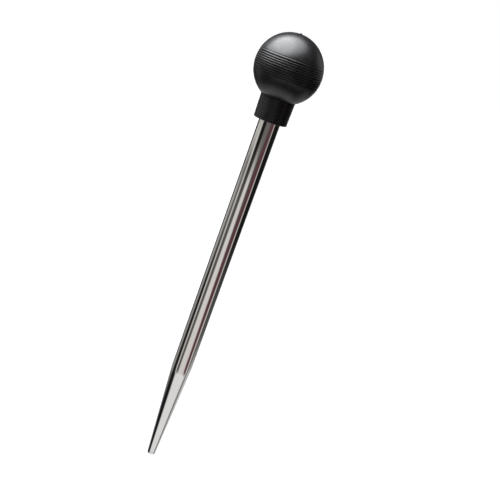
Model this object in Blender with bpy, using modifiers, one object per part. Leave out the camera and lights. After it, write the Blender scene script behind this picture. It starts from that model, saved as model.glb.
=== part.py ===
"""Squeeze-ball siphon: a rubber ball and ribbed collar on a long polished steel tube with a tapered tip.

Origin: centre of the open tip. +Z runs up the tube to the ball. Metres.
"""
import math

import bpy

COLLECTION_NAME = "squeeze_ball_siphon"

# Driving dimensions
TUBE_OUTER_RADIUS = 0.009525      # 3/4 inch tube
TUBE_WALL = 0.0008
EXPOSED_LENGTH = 0.352            # open tip to the underside of the collar
TAPER_LENGTH = 0.100
TIP_OUTER_RADIUS = 0.0040
COLLAR_HEIGHT = 0.020
COLLAR_TOP_RADIUS = 0.01535
COLLAR_BOTTOM_RADIUS = 0.01485
BALL_RADIUS = 0.02955
BALL_CENTRE_ABOVE_COLLAR_UNDERSIDE = 0.0454
BALL_WALL = 0.0025
GAP = 0.0003                      # clearance kept between touching pieces
TURN_STEPS = 40                   # facets round every turned piece

# Fine details
COLLAR_RIBS = 11
RIB_DEPTH = 0.00055
BALL_GROOVES = 10
BALL_GROOVE_PITCH = 0.00187
BALL_GROOVE_BAND_CENTRE = 0.0011  # above the ball's centre
BALL_GROOVE_DEPTH = 0.0004
NUB_RADIUS = 0.0010               # moulding nub on top of the ball
NUB_HEIGHT = 0.0006
SPIGOT_LENGTH = 0.006
SPIGOT_WALL = 0.0006
SEAL_SECTION_RADIUS = 0.0011
NECK_OUTER_RADIUS = 0.0116
NECK_LIP_RADIUS = 0.0124
NECK_LIP_HEIGHT = 0.0020
NECK_LIP_UNDERSIDE = 0.0073       # above the collar's underside
SEAL_CENTRE = 0.0032              # above the collar's underside
STOP_HEIGHT = 0.0020              # inner lip that the tube's end seats against
STOP_RADIUS = 0.0078

# Worked out from the dimensions above
COLLAR_BOTTOM = EXPOSED_LENGTH
COLLAR_TOP = COLLAR_BOTTOM + COLLAR_HEIGHT
BALL_CENTRE = COLLAR_BOTTOM + BALL_CENTRE_ABOVE_COLLAR_UNDERSIDE
BORE_RADIUS = TUBE_OUTER_RADIUS + GAP
TUBE_INNER_RADIUS = TUBE_OUTER_RADIUS - TUBE_WALL
TUBE_TOP = COLLAR_TOP - GAP
NECK_BOTTOM = COLLAR_BOTTOM + NECK_LIP_UNDERSIDE
BALL_INNER_RADIUS = BALL_RADIUS - BALL_WALL
BALL_FOOT = COLLAR_TOP + GAP

RUBBER = {"colour": (0.028, 0.028, 0.031), "roughness": 0.48, "metallic": 0.0}
SEAL_RUBBER = {"colour": (0.045, 0.042, 0.040), "roughness": 0.6, "metallic": 0.0}
STEEL = {"colour": (0.72, 0.71, 0.70), "roughness": 0.07, "metallic": 1.0}


def clear_scene():
    """Remove every object the file opened with."""
    for thing in list(bpy.data.objects):
        bpy.data.objects.remove(thing, do_unlink=True)


def make_collection(name):
    """Make the collection that holds the parts."""
    collection = bpy.data.collections.new(name)
    bpy.context.scene.collection.children.link(collection)
    return collection


def make_material(name, finish):
    """Make a Principled BSDF material from a finish."""
    material = bpy.data.materials.new(name)
    material.use_nodes = True
    shader = material.node_tree.nodes["Principled BSDF"]
    shader.inputs["Base Color"].default_value = (*finish["colour"], 1.0)
    shader.inputs["Roughness"].default_value = finish["roughness"]
    shader.inputs["Metallic"].default_value = finish["metallic"]
    material.diffuse_color = (*finish["colour"], 1.0)
    return material


def shade_round(mesh):
    """Shade a turned mesh smooth, with its real corners left sharp."""
    mesh.shade_smooth()
    mesh.set_sharp_from_angle(angle=math.radians(35))


def turned(name, profile, closed, finish, parent):
    """Turn a profile of (radius, height) points, outer side first and top to bottom, about Z."""
    origin_z = parent.location.z
    mesh = bpy.data.meshes.new(name)
    points = [(radius, 0.0, height - origin_z) for radius, height in profile]
    edges = [(index, index + 1) for index in range(len(points) - 1)]
    if closed:
        edges.append((len(points) - 1, 0))
    mesh.from_pydata(points, edges, [])
    piece = bpy.data.objects.new(name, mesh)
    PARTS.objects.link(piece)
    piece.parent = parent
    screw = piece.modifiers.new("turn", "SCREW")
    screw.axis = "Z"
    screw.angle = math.tau
    screw.steps = TURN_STEPS
    screw.render_steps = TURN_STEPS
    screw.use_merge_vertices = True
    screw.merge_threshold = 0.00001
    mesh.materials.append(make_material(name, finish))
    return piece


def make_axis_empty(name, height):
    """Put an empty on the tube's axis, where a body slides."""
    empty = bpy.data.objects.new(name, None)
    empty.location = (0.0, 0.0, height)
    empty.empty_display_size = 0.01
    PARTS.objects.link(empty)
    return empty


def arc(centre_height, radius, start, end, steps):
    """Points on a circle about the axis; angles run from the top pole down, in radians."""
    points = []
    for step in range(steps + 1):
        angle = start + (end - start) * step / steps
        points.append((radius * math.sin(angle), centre_height + radius * math.cos(angle)))
    return points


def polar_angle(radius, height_above_centre):
    """Angle from the top pole of the point on a circle at that height."""
    return math.acos(height_above_centre / radius)


def radius_at(radius, height_above_centre):
    """Radius of a ball's level section at that height."""
    return math.sqrt(radius ** 2 - height_above_centre ** 2)


def build_barrel_tube(parent):
    """Straight steel tube, open at both ends. Its top end seats inside the ball's neck."""
    bottom = TAPER_LENGTH + GAP
    profile = [
        (TUBE_OUTER_RADIUS, TUBE_TOP),
        (TUBE_OUTER_RADIUS, bottom),
        (TUBE_INNER_RADIUS, bottom),
        (TUBE_INNER_RADIUS, TUBE_TOP),
    ]
    return turned("barrel_tube", profile, True, STEEL, parent)


def build_tapered_tip(parent):
    """Long open taper. A thin spigot on its wide end sits inside the barrel."""
    spigot_outer = TUBE_INNER_RADIUS - GAP
    spigot_inner = spigot_outer - SPIGOT_WALL
    spigot_top = TAPER_LENGTH + SPIGOT_LENGTH
    profile = [
        (spigot_outer, spigot_top),
        (spigot_outer, TAPER_LENGTH),
        (TUBE_OUTER_RADIUS, TAPER_LENGTH),
        (TIP_OUTER_RADIUS, 0.0),
        (TIP_OUTER_RADIUS - TUBE_WALL, 0.0),
        (spigot_inner, TAPER_LENGTH - SPIGOT_WALL),
        (spigot_inner, spigot_top),
    ]
    return turned("tapered_tip", profile, True, STEEL, parent)


def collar_ribs():
    """Outer side of the collar: pointed ribs, top to bottom, on a slightly drafted cone."""
    points = []
    pitch = COLLAR_HEIGHT / COLLAR_RIBS
    for rib in range(COLLAR_RIBS):
        for share, depth in ((0.0, RIB_DEPTH), (0.25, 0.0), (0.75, 0.0)):
            height = COLLAR_TOP - (rib + share) * pitch
            draft = (COLLAR_TOP - height) / COLLAR_HEIGHT
            radius = COLLAR_TOP_RADIUS + (COLLAR_BOTTOM_RADIUS - COLLAR_TOP_RADIUS) * draft
            points.append((radius - depth, height))
    points.append((COLLAR_BOTTOM_RADIUS - RIB_DEPTH, COLLAR_BOTTOM))
    return points


def build_ribbed_collar(parent):
    """Ribbed rubber collar with a groove for the seal ring and a socket for the ball's neck."""
    seal_height = COLLAR_BOTTOM + SEAL_CENTRE
    half_groove = SEAL_SECTION_RADIUS + GAP
    groove_floor = BORE_RADIUS + 2 * SEAL_SECTION_RADIUS + GAP
    socket_radius = NECK_OUTER_RADIUS + GAP
    lip_pocket_radius = NECK_LIP_RADIUS + GAP
    lip_pocket_top = NECK_BOTTOM + NECK_LIP_HEIGHT + GAP
    inside = [
        (BORE_RADIUS, COLLAR_BOTTOM),
        (BORE_RADIUS, seal_height - half_groove),
        (groove_floor, seal_height - half_groove),
        (groove_floor, seal_height + half_groove),
        (BORE_RADIUS, seal_height + half_groove),
        (BORE_RADIUS, NECK_BOTTOM - GAP),
        (lip_pocket_radius, NECK_BOTTOM - GAP),
        (lip_pocket_radius, lip_pocket_top),
        (socket_radius, lip_pocket_top),
        (socket_radius, COLLAR_TOP),
    ]
    return turned("ribbed_collar", collar_ribs() + inside, True, RUBBER, parent)


def build_seal_ring(parent):
    """Rubber O-ring that sits in the collar's groove, round the steel tube."""
    bpy.ops.mesh.primitive_torus_add(
        major_segments=TURN_STEPS,
        minor_segments=12,
        major_radius=BORE_RADIUS + SEAL_SECTION_RADIUS,
        minor_radius=SEAL_SECTION_RADIUS,
    )
    ring = bpy.context.object
    ring.name = "seal_ring"
    ring.data.name = "seal_ring"
    for collection in list(ring.users_collection):
        collection.objects.unlink(ring)
    PARTS.objects.link(ring)
    ring.parent = parent
    ring.location = (0.0, 0.0, COLLAR_BOTTOM + SEAL_CENTRE - parent.location.z)
    ring.data.materials.append(make_material("seal_ring", SEAL_RUBBER))
    return ring


def ball_outside():
    """Outer side of the ball from its nub to its foot, with a band of V-shaped grip grooves."""
    band_top = BALL_GROOVE_BAND_CENTRE + BALL_GROOVES * BALL_GROOVE_PITCH / 2
    band_bottom = BALL_GROOVE_BAND_CENTRE - BALL_GROOVES * BALL_GROOVE_PITCH / 2
    nub_edge = BALL_CENTRE + radius_at(BALL_RADIUS, NUB_RADIUS)
    points = [
        (0.0, BALL_CENTRE + BALL_RADIUS + NUB_HEIGHT),
        (NUB_RADIUS, BALL_CENTRE + BALL_RADIUS + NUB_HEIGHT),
        (NUB_RADIUS, nub_edge),
    ]
    top_angle = polar_angle(BALL_RADIUS, band_top)
    start_angle = top_angle / 8
    points += arc(BALL_CENTRE, BALL_RADIUS, start_angle, top_angle, 7)
    for groove in range(BALL_GROOVES):
        crest_height = band_top - (groove + 1) * BALL_GROOVE_PITCH
        floor_height = crest_height + BALL_GROOVE_PITCH / 2
        floor_radius = radius_at(BALL_RADIUS, floor_height) - BALL_GROOVE_DEPTH
        points.append((floor_radius, BALL_CENTRE + floor_height))
        points.append((radius_at(BALL_RADIUS, crest_height), BALL_CENTRE + crest_height))
    bottom_angle = polar_angle(BALL_RADIUS, band_bottom)
    foot_angle = polar_angle(BALL_RADIUS, BALL_FOOT - BALL_CENTRE)
    points += arc(BALL_CENTRE, BALL_RADIUS, bottom_angle, foot_angle, 5)[1:]
    return points


def ball_inside():
    """The neck sleeve and its locking lip, the bore with the tube's stop, and the air space."""
    stop_bottom = TUBE_TOP + GAP
    stop_top = stop_bottom + STOP_HEIGHT
    lip_top = NECK_BOTTOM + NECK_LIP_HEIGHT
    points = [
        (NECK_OUTER_RADIUS, BALL_FOOT),
        (NECK_OUTER_RADIUS, lip_top),
        (NECK_LIP_RADIUS, lip_top),
        (NECK_LIP_RADIUS, NECK_BOTTOM),
        (BORE_RADIUS, NECK_BOTTOM),
        (BORE_RADIUS, stop_bottom),
        (STOP_RADIUS, stop_bottom),
        (STOP_RADIUS, stop_top),
    ]
    opening_angle = polar_angle(BALL_INNER_RADIUS, stop_top + GAP - BALL_CENTRE)
    points += arc(BALL_CENTRE, BALL_INNER_RADIUS, opening_angle, 0.0, 14)
    return points


def build_squeeze_ball(parent):
    """Hollow rubber ball, open through its neck."""
    return turned("squeeze_ball", ball_outside() + ball_inside(), False, RUBBER, parent)


def build_siphon():
    """Build the three moving bodies, each under an empty on the tube's axis."""
    tube_body = make_axis_empty("tube_body", 0.0)
    collar_body = make_axis_empty("collar_body", COLLAR_BOTTOM)
    ball_body = make_axis_empty("ball_body", BALL_CENTRE)
    build_barrel_tube(tube_body)
    build_tapered_tip(tube_body)
    build_ribbed_collar(collar_body)
    build_seal_ring(collar_body)
    build_squeeze_ball(ball_body)
    bpy.context.view_layer.update()
    for piece in PARTS.objects:
        if piece.type == "MESH":
            shade_round(piece.data)


clear_scene()
PARTS = make_collection(COLLECTION_NAME)
build_siphon()
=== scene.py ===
"""Looks of the squeeze-bulb siphon: black rubber ball and ribbed collar on a mirror-polished steel tube."""
import math

import bpy
from mathutils import Matrix, Vector


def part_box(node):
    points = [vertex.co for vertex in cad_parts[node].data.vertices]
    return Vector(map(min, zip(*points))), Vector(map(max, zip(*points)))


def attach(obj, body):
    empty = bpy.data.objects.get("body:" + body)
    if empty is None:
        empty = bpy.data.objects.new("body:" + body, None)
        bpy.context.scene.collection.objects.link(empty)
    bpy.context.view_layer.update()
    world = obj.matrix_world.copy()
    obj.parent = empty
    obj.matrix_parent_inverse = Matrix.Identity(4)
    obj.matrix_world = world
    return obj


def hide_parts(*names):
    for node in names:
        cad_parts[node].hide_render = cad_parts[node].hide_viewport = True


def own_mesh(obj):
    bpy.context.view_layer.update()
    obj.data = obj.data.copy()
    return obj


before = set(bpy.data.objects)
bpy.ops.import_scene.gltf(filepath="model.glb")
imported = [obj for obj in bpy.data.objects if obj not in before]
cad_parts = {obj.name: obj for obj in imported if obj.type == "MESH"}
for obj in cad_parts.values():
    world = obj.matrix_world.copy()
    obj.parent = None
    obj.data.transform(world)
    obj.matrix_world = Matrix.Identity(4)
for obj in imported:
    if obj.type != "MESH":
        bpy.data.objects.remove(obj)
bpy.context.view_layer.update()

MILLIMETRE = 0.001
NODE_NAMES = ("barrel_tube", "tapered_tip", "ribbed_collar", "seal_ring", "squeeze_ball")
BOXES = {name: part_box(name) for name in NODE_NAMES}

# The turned pieces' main sizes, read from the lowest and highest corners of the CAD nodes
TUBE_RADIUS = BOXES["barrel_tube"][1][0]
TUBE_TOP = BOXES["barrel_tube"][1][2]
TAPER_TOP = BOXES["barrel_tube"][0][2]
TIP_END = BOXES["tapered_tip"][0][2]
COLLAR_BOTTOM = BOXES["ribbed_collar"][0][2]
COLLAR_TOP = BOXES["ribbed_collar"][1][2]
COLLAR_RADIUS = BOXES["ribbed_collar"][1][0]
NECK_BOTTOM = BOXES["squeeze_ball"][0][2]
BALL_RADIUS = BOXES["squeeze_ball"][1][0]
NUB_HEIGHT = 0.6 * MILLIMETRE
BALL_TOP = BOXES["squeeze_ball"][1][2] - NUB_HEIGHT
BALL_CENTRE = BALL_TOP - BALL_RADIUS
SEAL_LOW = BOXES["seal_ring"][0][2]
SEAL_HIGH = BOXES["seal_ring"][1][2]
SEAL_OUTER_RADIUS = BOXES["seal_ring"][1][0]

# How finely the pieces are turned: steps round them, and the angle in degrees that stays a sharp edge
AROUND = 192
SHARP_EDGE = 40

# The tube, and the gap round it in the collar
TUBE_WALL = 0.8 * MILLIMETRE
TIP_RADIUS = 4.0 * MILLIMETRE
CLEARANCE = 0.04 * MILLIMETRE

# The ball and its neck. The hole in the ball's foot is smaller than the tube and stops it.
BALL_FOOT = COLLAR_TOP + 0.12 * MILLIMETRE
BALL_WALL = 2.5 * MILLIMETRE
NECK_RADIUS = 11.6 * MILLIMETRE
NECK_LIP_RADIUS = 12.4 * MILLIMETRE
NECK_LIP_HEIGHT = 2.0 * MILLIMETRE
STOP_RADIUS = 7.8 * MILLIMETRE

# The ball's grip band. Its middle is given above the ball's centre. A groove's floor is a share of its
# half width, and its rounding a share of its depth, less by a step for each groove further down.
GROOVES = 10
GROOVE_PITCH = 1.87 * MILLIMETRE
GROOVE_BAND_MIDDLE = 1.1 * MILLIMETRE
GROOVE_DEPTH = 0.70 * MILLIMETRE
FIRST_GROOVE_SHARE = 0.3
GROOVE_HALF_WIDTH = 0.40 * MILLIMETRE
GROOVE_FLOOR = 0.08
TOP_GROOVE_ROUNDING = 0.06
ROUNDING_STEP = 0.0045

# The collar's ribs
RIBS = 11
RIB_DEPTH = 0.60 * MILLIMETRE
RIB_GROOVE_HALF_WIDTH = 0.42 * MILLIMETRE
RIB_GROOVE_FLOOR = 0.8
RIB_GROOVE_ROUNDING = 0.02
COLLAR_DRAFT = 0.5 * MILLIMETRE

# How far a groove's rounded edges reach past and inside its width, as a share of its half width
GROOVE_SHOULDER = 0.08

# Finishes
RUBBER_IOR = 1.33
BALL_GRAIN_DEPTH = 0.008 * MILLIMETRE
COLLAR_GRAIN_DEPTH = 0.004 * MILLIMETRE

# The view: the camera's pitch and roll in degrees, its lens in millimetres on Blender's standard sensor
CAMERA_PLACE = Vector((0.0224, -0.5977, 0.4299))
CAMERA_PITCH_DOWN = 17.88
CAMERA_ROLL = 20.40
CAMERA_LENS = 50.0
FLOOR_HEIGHT = -40 * MILLIMETRE
FLOOR_SIZE = 60.0
FLOOR_TONE = 0.17

# The Mix node's colour sockets by number, because its number and vector sockets share their names
MIX_FIRST = 6
MIX_SECOND = 7
MIX_RESULT = 2


# ---------------------------------------------------------------- meshes

def turned(name, profile, closed):
    """Turn a profile of (radius, height) points about Z into a smooth mesh.

    The profile's outer side runs downward. A closed profile also joins its last point to its first.
    """
    points = []
    rings = []
    for radius, height in profile:
        count = AROUND if radius > 0 else 1
        rings.append([len(points) + step % count for step in range(AROUND)])
        for step in range(count):
            angle = math.tau * step / AROUND
            points.append((radius * math.cos(angle), radius * math.sin(angle), height))
    faces = []
    for upper, lower in zip(rings, rings[1:] + rings[:1] * closed):
        for step in range(AROUND):
            after = (step + 1) % AROUND
            corners = (upper[step], lower[step], lower[after], upper[after])
            # Two corners on the axis are one point, which makes the face a triangle
            faces.append(tuple(dict.fromkeys(corners)))
    mesh = bpy.data.meshes.new(name)
    mesh.from_pydata(points, [], faces)
    mesh.shade_smooth()
    mesh.set_sharp_from_angle(angle=math.radians(SHARP_EDGE))
    piece = bpy.data.objects.new(name, mesh)
    bpy.context.scene.collection.objects.link(piece)
    return piece


def arc(centre, radius, start, end, steps):
    """Points on a circle in the profile plane, between angles in degrees from straight up."""
    middle_radius, middle_height = centre
    points = []
    for step in range(steps + 1):
        angle = math.radians(start + (end - start) * step / steps)
        points.append((middle_radius + radius * math.sin(angle), middle_height + radius * math.cos(angle)))
    return points


def groove(middle, half_width, depth, floor, rounding):
    """Points down one groove, as distance down and depth.

    floor is the share of the half width that its floor takes, and rounding the share of the depth that
    its rounded edges go down.
    """
    lower_side = [(floor, 1.0), (1 - GROOVE_SHOULDER, rounding), (1 + GROOVE_SHOULDER, 0.0)]
    upper_side = [(-across, share) for across, share in reversed(lower_side)]
    return [(middle + across * half_width, depth * share) for across, share in upper_side + lower_side]


def ball_angle(height):
    """Angle from straight up, in degrees, of the ball's skin at a height above its centre."""
    return math.degrees(math.acos(height / BALL_RADIUS))


def ball_skin():
    """The ball's outer profile from its nub to its foot.

    The grip band's first groove is shallow, and the edges of its grooves get crisper downward.
    """
    nub_radius = 0.9 * MILLIMETRE
    nub_rounding = 0.45 * nub_radius
    nub_top = BALL_TOP + NUB_HEIGHT
    nub_foot_angle = 2.4
    centre = (0.0, BALL_CENTRE)
    band_top = GROOVE_BAND_MIDDLE + GROOVES * GROOVE_PITCH / 2
    band_bottom = GROOVE_BAND_MIDDLE - GROOVES * GROOVE_PITCH / 2
    points = [(0.0, nub_top)]
    points += arc((nub_radius - nub_rounding, nub_top - nub_rounding), nub_rounding, 0, 90, steps=5)
    points += arc(centre, BALL_RADIUS, nub_foot_angle, ball_angle(band_top), steps=80)
    for number in range(GROOVES):
        middle = (number + 0.5) * GROOVE_PITCH
        full_depth = GROOVE_DEPTH * (FIRST_GROOVE_SHARE if number == 0 else 1.0)
        rounding = TOP_GROOVE_ROUNDING - ROUNDING_STEP * number
        for down, depth in groove(middle, GROOVE_HALF_WIDTH, full_depth, GROOVE_FLOOR, rounding):
            height = band_top - down
            size = 1 - depth / BALL_RADIUS
            skin_radius = math.sqrt(BALL_RADIUS ** 2 - height ** 2)
            points.append((size * skin_radius, BALL_CENTRE + size * height))
    foot_angle = ball_angle(BALL_FOOT - BALL_CENTRE)
    points += arc(centre, BALL_RADIUS, ball_angle(band_bottom), foot_angle, steps=60)
    return points


def make_ball():
    """Hollow ball, open at its foot where the neck goes down into the collar."""
    inner = BALL_RADIUS - BALL_WALL
    open_height = COLLAR_TOP + 2.3 * MILLIMETRE
    opening = math.degrees(math.acos((open_height - BALL_CENTRE) / inner))
    foot = [(NECK_RADIUS, BALL_FOOT), (STOP_RADIUS, BALL_FOOT), (STOP_RADIUS, open_height)]
    inside = arc((0.0, BALL_CENTRE), inner, opening, 0, steps=40)
    # The last point lies exactly on the axis
    inside[-1] = (0.0, inside[-1][1])
    return turned("squeeze_ball_skin", ball_skin() + foot + inside, False)


def make_neck():
    """The ball's neck: a sleeve with a locking lip, held inside the collar."""
    low = NECK_BOTTOM
    high = COLLAR_TOP + 0.05 * MILLIMETRE
    lip = low + NECK_LIP_HEIGHT
    bore = TUBE_RADIUS + CLEARANCE * 3
    outside = [(NECK_RADIUS, high), (NECK_RADIUS, lip), (NECK_LIP_RADIUS, lip), (NECK_LIP_RADIUS, low)]
    inside = [(bore, low), (bore, high)]
    return turned("ball_neck", outside + inside, True)


def collar_skin():
    """The collar's ribbed outer profile, top to bottom, on a slight draft."""
    height = COLLAR_TOP - COLLAR_BOTTOM
    pitch = height / RIBS
    edge = 0.2 * MILLIMETRE
    rows = [(0.0, edge), (edge, 0.0)]
    for number in range(1, RIBS):
        middle = number * pitch
        rows += groove(middle, RIB_GROOVE_HALF_WIDTH, RIB_DEPTH, RIB_GROOVE_FLOOR, RIB_GROOVE_ROUNDING)
    rows += [(height - edge, 0.0), (height, edge)]
    points = []
    for down, depth in rows:
        radius = COLLAR_RADIUS - COLLAR_DRAFT * down / height - depth
        points.append((radius, COLLAR_TOP - down))
    return points


def make_collar():
    """Ribbed collar with the seal's groove and the neck's socket inside."""
    bore = TUBE_RADIUS + CLEARANCE
    lead_in = 0.35 * MILLIMETRE
    seal_gap = 0.3 * MILLIMETRE
    seal_floor = SEAL_OUTER_RADIUS + seal_gap
    seal_low = SEAL_LOW - seal_gap
    seal_high = SEAL_HIGH + seal_gap
    side_gap = 0.1 * MILLIMETRE
    end_gap = 0.2 * MILLIMETRE
    socket = NECK_RADIUS + side_gap
    pocket = NECK_LIP_RADIUS + side_gap
    pocket_low = NECK_BOTTOM - end_gap
    pocket_high = NECK_BOTTOM + NECK_LIP_HEIGHT + end_gap
    inside = [(bore + lead_in, COLLAR_BOTTOM), (bore, COLLAR_BOTTOM + lead_in)]
    inside += [(bore, seal_low), (seal_floor, seal_low), (seal_floor, seal_high), (bore, seal_high)]
    inside += [(bore, pocket_low), (pocket, pocket_low), (pocket, pocket_high)]
    inside += [(socket, pocket_high), (socket, COLLAR_TOP)]
    return turned("collar_ribs", collar_skin() + inside, True)


def make_tube():
    """One long polished tube: a straight barrel that runs smoothly into its taper."""
    straight_rows, blend_rows, taper_rows = 24, 12, 16
    edge = 0.15 * MILLIMETRE
    blend = 5.0 * MILLIMETRE
    straight_top = TUBE_TOP - 2 * edge
    straight_bottom = TAPER_TOP + blend
    taper_top = TAPER_TOP - blend
    taper_bottom = TIP_END + edge
    slope = (TUBE_RADIUS - TIP_RADIUS) / (TAPER_TOP - TIP_END)
    outside = [(TUBE_RADIUS - edge, TUBE_TOP), (TUBE_RADIUS, TUBE_TOP - edge)]
    for row in range(straight_rows + 1):
        height = straight_top + (straight_bottom - straight_top) * row / straight_rows
        outside.append((TUBE_RADIUS, height))
    for row in range(1, blend_rows + 1):
        share = row / blend_rows
        height = TAPER_TOP + blend * (1 - 2 * share)
        outside.append((TUBE_RADIUS - slope * blend * share ** 2, height))
    for row in range(1, taper_rows + 1):
        height = taper_top + (taper_bottom - taper_top) * row / taper_rows
        outside.append((TUBE_RADIUS - slope * (TAPER_TOP - height), height))
    outside.append((TIP_RADIUS - edge, TIP_END))
    inside = [(TIP_RADIUS - TUBE_WALL + edge, TIP_END), (TIP_RADIUS - TUBE_WALL, TIP_END + edge)]
    inside += [(TUBE_RADIUS - TUBE_WALL, TAPER_TOP), (TUBE_RADIUS - TUBE_WALL, TUBE_TOP)]
    return turned("polished_tube", outside + inside, True)


# ---------------------------------------------------------------- materials

class NodeWork:
    """A node tree, with the helpers that the materials and the sky share."""

    def __init__(self, tree):
        self.tree = tree

    def add(self, kind):
        """A new shader node of a kind, such as Math."""
        return self.tree.nodes.new("ShaderNode" + kind)

    def link(self, source, target):
        """Join an output to an input."""
        self.tree.links.new(source, target)

    def math(self, operation, *values):
        """Combine values, each an output or a plain number."""
        node = self.add("Math")
        node.operation = operation
        for socket, value in zip(node.inputs, values):
            if isinstance(value, (int, float)):
                socket.default_value = value
            else:
                self.link(value, socket)
        return node.outputs[0]

    def spread(self, source, low, high, to_low=0.0, to_high=1.0):
        """Map one range of a value smoothly to another. A range may also run downward."""
        node = self.add("MapRange")
        node.interpolation_type = "SMOOTHSTEP"
        ends = {"From Min": low, "From Max": high, "To Min": to_low, "To Max": to_high}
        for socket, value in ends.items():
            node.inputs[socket].default_value = value
        self.link(source, node.inputs["Value"])
        return node.outputs["Result"]


class Shader(NodeWork):
    """A Principled material. Its plain colour and roughness stand in where its patterns aren't read."""

    def __init__(self, name, colour, roughness, metallic=0.0):
        self.material = bpy.data.materials.new(name)
        self.material.use_nodes = True
        super().__init__(self.material.node_tree)
        self.bsdf = self.tree.nodes["Principled BSDF"]
        self.bsdf.inputs["Base Color"].default_value = (*colour, 1.0)
        self.bsdf.inputs["Roughness"].default_value = roughness
        self.bsdf.inputs["Metallic"].default_value = metallic
        self.place = self.add("TexCoord").outputs["Object"]

    def noise(self, size, detail=3.0, stretch=(1.0, 1.0, 1.0)):
        """Noise whose features are about size metres, longer along an axis by stretch."""
        mapping = self.add("Mapping")
        mapping.inputs["Scale"].default_value = [1.0 / (size * factor) for factor in stretch]
        node = self.add("TexNoise")
        node.inputs["Scale"].default_value = 1.0
        node.inputs["Detail"].default_value = detail
        self.link(self.place, mapping.inputs["Vector"])
        self.link(mapping.outputs["Vector"], node.inputs["Vector"])
        return node.outputs["Fac"]

    def colours(self, factor, first, second):
        """Blend two colours by a factor; the first may itself be an output."""
        node = self.add("Mix")
        node.data_type = "RGBA"
        self.link(factor, node.inputs["Factor"])
        if isinstance(first, tuple):
            node.inputs[MIX_FIRST].default_value = (*first, 1.0)
        else:
            self.link(first, node.inputs[MIX_FIRST])
        node.inputs[MIX_SECOND].default_value = (*second, 1.0)
        return node.outputs[MIX_RESULT]

    def feed(self, socket, source):
        """Give one of the shader's own sockets a pattern."""
        self.link(source, self.bsdf.inputs[socket])

    def bump(self, height, distance):
        """Raise the surface by a height pattern, at most by distance metres, on top of earlier bumps."""
        node = self.add("Bump")
        node.inputs["Distance"].default_value = distance
        self.link(height, node.inputs["Height"])
        previous = self.bsdf.inputs["Normal"].links
        if previous:
            self.link(previous[0].from_socket, node.inputs["Normal"])
        self.feed("Normal", node.outputs["Normal"])


def black_rubber(name, grain_depth):
    """Soft black rubber: satin, finely grained, with a faint grey bloom and a few lint specks."""
    deep_black = (0.0035, 0.0035, 0.0038)
    bloomed_black = (0.0065, 0.0065, 0.0070)
    lint_grey = (0.10, 0.10, 0.10)
    look = Shader(name, (0.005, 0.005, 0.006), 0.30)
    look.bsdf.inputs["IOR"].default_value = RUBBER_IOR
    bloom = look.spread(look.noise(9 * MILLIMETRE, 4), 0.35, 0.75, to_high=0.6)
    speck = look.spread(look.noise(1.1 * MILLIMETRE, 1), 0.74, 0.78, to_high=0.5)
    look.feed("Base Color", look.colours(speck, look.colours(bloom, deep_black, bloomed_black), lint_grey))
    look.feed("Roughness", look.spread(look.noise(1.6 * MILLIMETRE, 5), 0.3, 0.7, 0.26, 0.34))
    look.bump(look.noise(0.35 * MILLIMETRE, 2), grain_depth)
    look.bump(look.noise(3 * MILLIMETRE, 2), 0.02 * MILLIMETRE)
    return look.material


def seal_rubber():
    """Plain matte rubber for the hidden seal."""
    dark_tone = (0.035, 0.033, 0.031)
    light_tone = (0.055, 0.052, 0.050)
    look = Shader("seal_rubber", (0.045, 0.042, 0.040), 0.6)
    look.feed("Base Color", look.colours(look.noise(2 * MILLIMETRE), dark_tone, light_tone))
    look.feed("Roughness", look.spread(look.noise(0.8 * MILLIMETRE), 0.3, 0.7, 0.52, 0.68))
    look.bump(look.noise(0.3 * MILLIMETRE), 0.01 * MILLIMETRE)
    return look.material


def polished_steel():
    """Mirror-polished stainless steel, slightly wavy, with faint lengthwise polishing lines and smudges."""
    clean_steel = (0.72, 0.71, 0.695)
    smudged_steel = (0.66, 0.645, 0.625)
    look = Shader("polished_steel", (0.70, 0.69, 0.675), 0.05, metallic=1.0)
    lines = look.noise(0.25 * MILLIMETRE, 3, stretch=(1.0, 1.0, 120.0))
    smudge = look.noise(14 * MILLIMETRE, 4, stretch=(1.0, 1.0, 1.6))
    line_roughness = look.spread(lines, 0.3, 0.7, 0.02, 0.06)
    smudge_roughness = look.spread(smudge, 0.45, 0.75, to_high=0.06)
    look.feed("Base Color", look.colours(smudge, clean_steel, smudged_steel))
    look.feed("Roughness", look.math("ADD", line_roughness, smudge_roughness))
    look.bump(lines, 0.0006 * MILLIMETRE)
    look.bump(look.noise(6 * MILLIMETRE, 2, stretch=(1.0, 1.0, 5.0)), 0.004 * MILLIMETRE)
    return look.material


# ---------------------------------------------------------------- studio

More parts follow.
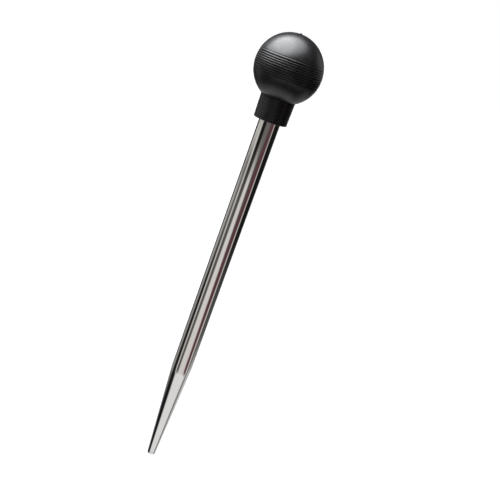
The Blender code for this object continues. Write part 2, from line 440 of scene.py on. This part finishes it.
class Sky(NodeWork):
    """The studio as soft panels round the object. The camera itself sees plain white."""

    def __init__(self, base):
        world = bpy.data.worlds.new("studio")
        bpy.context.scene.world = world
        world.use_nodes = True
        super().__init__(world.node_tree)
        self.tree.nodes.clear()
        self.direction = self.add("TexCoord").outputs["Generated"]
        split = self.add("SeparateXYZ")
        self.link(self.direction, split.inputs[0])
        depth = self.math("MULTIPLY", split.outputs["Y"], -1.0)
        self.azimuth = self.math("DEGREES", self.math("ARCTAN2", split.outputs["X"], depth))
        self.elevation = self.math("DEGREES", self.math("ARCSINE", split.outputs["Z"]))
        self.total = self.add("RGB").outputs[0]
        self.total.default_value = (*base, 1.0)

    def add_light(self, share, colour):
        """Add a colour, weighted by a share of the sky."""
        node = self.add("VectorMath")
        node.operation = "MULTIPLY_ADD"
        self.link(share, node.inputs[0])
        node.inputs[1].default_value = colour
        self.link(self.total, node.inputs[2])
        self.total = node.outputs["Vector"]

    def panel(self, colour, across, heights, edge=5.0, end=3.0):
        """An upright or leaning panel, in degrees.

        across gives its two sides, azimuth 0 on the camera's side and 90 towards +X, and heights its
        lowest and highest elevation. A leaning one gives its sides at both heights. It fades over edge
        degrees to either side of its sides, and over end degrees at its top and bottom.
        """
        low, high = heights
        at_low = across[:2]
        at_high = across[-2:]
        middle_low = sum(at_low) / 2
        middle_high = sum(at_high) / 2
        half_low = (at_low[1] - at_low[0]) / 2
        half_high = (at_high[1] - at_high[0]) / 2
        rise = self.math("DIVIDE", self.math("SUBTRACT", self.elevation, low), high - low)
        middle = self.math("MULTIPLY_ADD", rise, middle_high - middle_low, middle_low)
        half = self.math("MULTIPLY_ADD", rise, half_high - half_low, half_low)
        away = self.math("WRAP", self.math("SUBTRACT", self.azimuth, middle), 180.0, -180.0)
        inside = self.math("SUBTRACT", half, self.math("ABSOLUTE", away))
        beside = self.spread(inside, -edge, edge)
        above = self.spread(self.elevation, low - end, low + end)
        below = self.spread(self.elevation, high + end, high - end)
        self.add_light(self.math("MULTIPLY", beside, self.math("MULTIPLY", above, below)), colour)

    def lobe(self, colour, towards, inner, outer):
        """A round soft source, full inside inner degrees and gone past outer."""
        node = self.add("VectorMath")
        node.operation = "DOT_PRODUCT"
        self.link(self.direction, node.inputs[0])
        node.inputs[1].default_value = Vector(towards).normalized()
        away = self.math("DEGREES", self.math("ARCCOSINE", node.outputs["Value"]))
        self.add_light(self.spread(away, outer, inner), colour)

    def finish(self):
        """Show the panels to everything but the camera, which sees white."""
        lit = self.add("Background")
        self.link(self.total, lit.inputs["Color"])
        plain = self.add("Background")
        plain.inputs["Color"].default_value = (1.0, 1.0, 1.0, 1.0)
        mix = self.add("MixShader")
        self.link(self.add("LightPath").outputs["Is Camera Ray"], mix.inputs["Fac"])
        self.link(lit.outputs[0], mix.inputs[1])
        self.link(plain.outputs[0], mix.inputs[2])
        output = self.add("OutputWorld")
        self.link(mix.outputs[0], output.inputs["Surface"])


def grey(value, warm=0.0):
    """A neutral brightness, a little warmer or cooler."""
    return (value * (1 + warm), value, value * (1 - warm))


def light_above_and_below(sky):
    """Two strong soft sources overhead that overlap, and the bright ground straight below."""
    cool_white = (10.0, 10.1, 10.3)
    for towards in ((-0.278, -0.10, 0.94), (-0.652, -0.14, 0.81)):
        sky.lobe(cool_white, towards, inner=28, outer=48)
    sky.lobe(grey(1.70), (-0.04, 0.14, -0.99), inner=18, outer=42)


def ground_round(sky):
    """The pale ground farther out, which the taper and the lower tube reflect."""
    sky.panel(grey(0.95), (-45, 80), (-44, -33), edge=12, end=2)                     # before the taper
    sky.panel((0.44, 0.45, 0.48), (-165, -118), (-52, -36), edge=15, end=5)          # behind, left
    sky.panel(grey(0.60), (100, 212), (-50, -28), edge=16)                           # behind
    sky.panel(grey(0.09), (80, 150), (-34, -21), edge=8, end=5)                      # haze above it


def backdrop(sky):
    """Broad dim light from behind, which the rims of the tube and the ball reflect."""
    sky.panel(grey(0.36), (149, 198), (-26, 8), edge=12)                             # straight behind
    sky.panel(grey(0.30), (158, 202), (-26, -12), edge=12, end=6)                    # its brighter foot
    sky.panel(grey(0.60), (108, 150), (-2, 34), edge=14, end=3)                      # right, high
    sky.panel(grey(0.60), (-150, -108), (-2, 34), edge=14, end=3)                    # left, high


def high_fronts(sky):
    """Panels above the tube's reflections in the main view, which light it in nearly level views."""
    sky.panel(grey(0.50), (58, 96), (3, 15), edge=8)                                 # right
    sky.panel(grey(0.50), (-12, 6), (3, 15), edge=5)                                 # front


def front_streaks(sky):
    """Streaks on the tube's middle and right: bright, dim, pink and light again."""
    sky.panel(grey(0.72, 0.03), (-20, 50, -17, 11), (-33, -11), edge=7, end=2.5)     # bright middle
    sky.panel(grey(0.10, 0.05), (-55, 30), (-33, -12), edge=8)                       # haze round it
    sky.panel(grey(0.15, 0.08), (-22, 26), (-11, 0), edge=6)                         # dim, higher up
    sky.panel((0.115, 0.044, 0.055), (34, 70, 26, 60), (-33, 0), edge=6)             # muted pink
    sky.panel(grey(0.64, 0.06), (72, 88, 58, 64), (-33, 0), edge=4)                  # thin light line


def left_streaks(sky):
    """Streaks on the tube's left, with a dark strip left between them."""
    sky.panel(grey(0.34, 0.03), (-134, -96, -122, -90), (-33, -11), edge=6)          # low
    sky.panel(grey(0.20, 0.03), (-128, -104), (-20, -8), edge=6, end=4)              # farther back
    sky.panel(grey(0.60, 0.03), (-54, -42, -72, -54), (-33, -9), edge=5, end=2)      # beside the strip
    sky.panel(grey(0.14, 0.03), (-95, -65), (-18, -9), edge=4, end=4)                # fill above it
    sky.panel(grey(0.58, 0.03), (-121, -60), (-10, 2), edge=5, end=2)                # high


def light_studio():
    """Large sources overhead, pale ground below, and upright panels that streak the mirror tube."""
    sky = Sky(grey(0.012))
    light_above_and_below(sky)
    ground_round(sky)
    backdrop(sky)
    high_fronts(sky)
    front_streaks(sky)
    left_streaks(sky)
    sky.finish()


def make_floor():
    """Plain pale floor below the hanging tool. Only the camera sees it, so it lights and shades nothing."""
    bpy.ops.mesh.primitive_plane_add(size=FLOOR_SIZE, location=(0.0, 0.0, FLOOR_HEIGHT))
    floor = bpy.context.object
    floor.name = "floor"
    look = Shader("floor_paper", grey(FLOOR_TONE), 1.0)
    look.bsdf.inputs["Specular IOR Level"].default_value = 0.0
    floor.data.materials.append(look.material)
    floor.visible_diffuse = False
    floor.visible_glossy = False
    floor.visible_shadow = False


def make_camera():
    """The camera, looking slightly down with the tool leaning to the right in the picture."""
    camera = bpy.data.objects.new("camera", bpy.data.cameras.new("camera"))
    camera.data.lens = CAMERA_LENS
    pitch = Matrix.Rotation(math.radians(90 - CAMERA_PITCH_DOWN), 4, "X")
    roll = Matrix.Rotation(math.radians(CAMERA_ROLL), 4, "Z")
    camera.matrix_world = Matrix.Translation(CAMERA_PLACE) @ pitch @ roll
    bpy.context.scene.collection.objects.link(camera)
    bpy.context.scene.camera = camera


def finish_piece(piece, body, slot, material, *nodes):
    """Give a new piece its material and its body, and hide the CAD nodes that it stands for. slot is not
    used.
    """
    piece.data.materials.append(material)
    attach(piece, body)
    if nodes:
        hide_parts(*nodes)


def build():
    """Make every piece, the studio and the camera."""
    make_camera()
    light_studio()
    make_floor()
    ball_rubber = black_rubber("ball_rubber", BALL_GRAIN_DEPTH)
    collar_rubber = black_rubber("collar_rubber", COLLAR_GRAIN_DEPTH)
    finish_piece(make_tube(), "tube", "polished_steel", polished_steel(), "barrel_tube", "tapered_tip")
    finish_piece(make_collar(), "collar", "black_rubber", collar_rubber, "ribbed_collar")
    finish_piece(make_neck(), "collar", "black_rubber", ball_rubber)
    ball = make_ball()
    finish_piece(ball, "collar", "black_rubber", ball_rubber, "squeeze_ball")
    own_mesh(ball)
    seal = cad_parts["seal_ring"]
    seal.data.materials.clear()
    seal.data.materials.append(seal_rubber())
    bpy.context.scene.view_settings.view_transform = "Standard"


build()
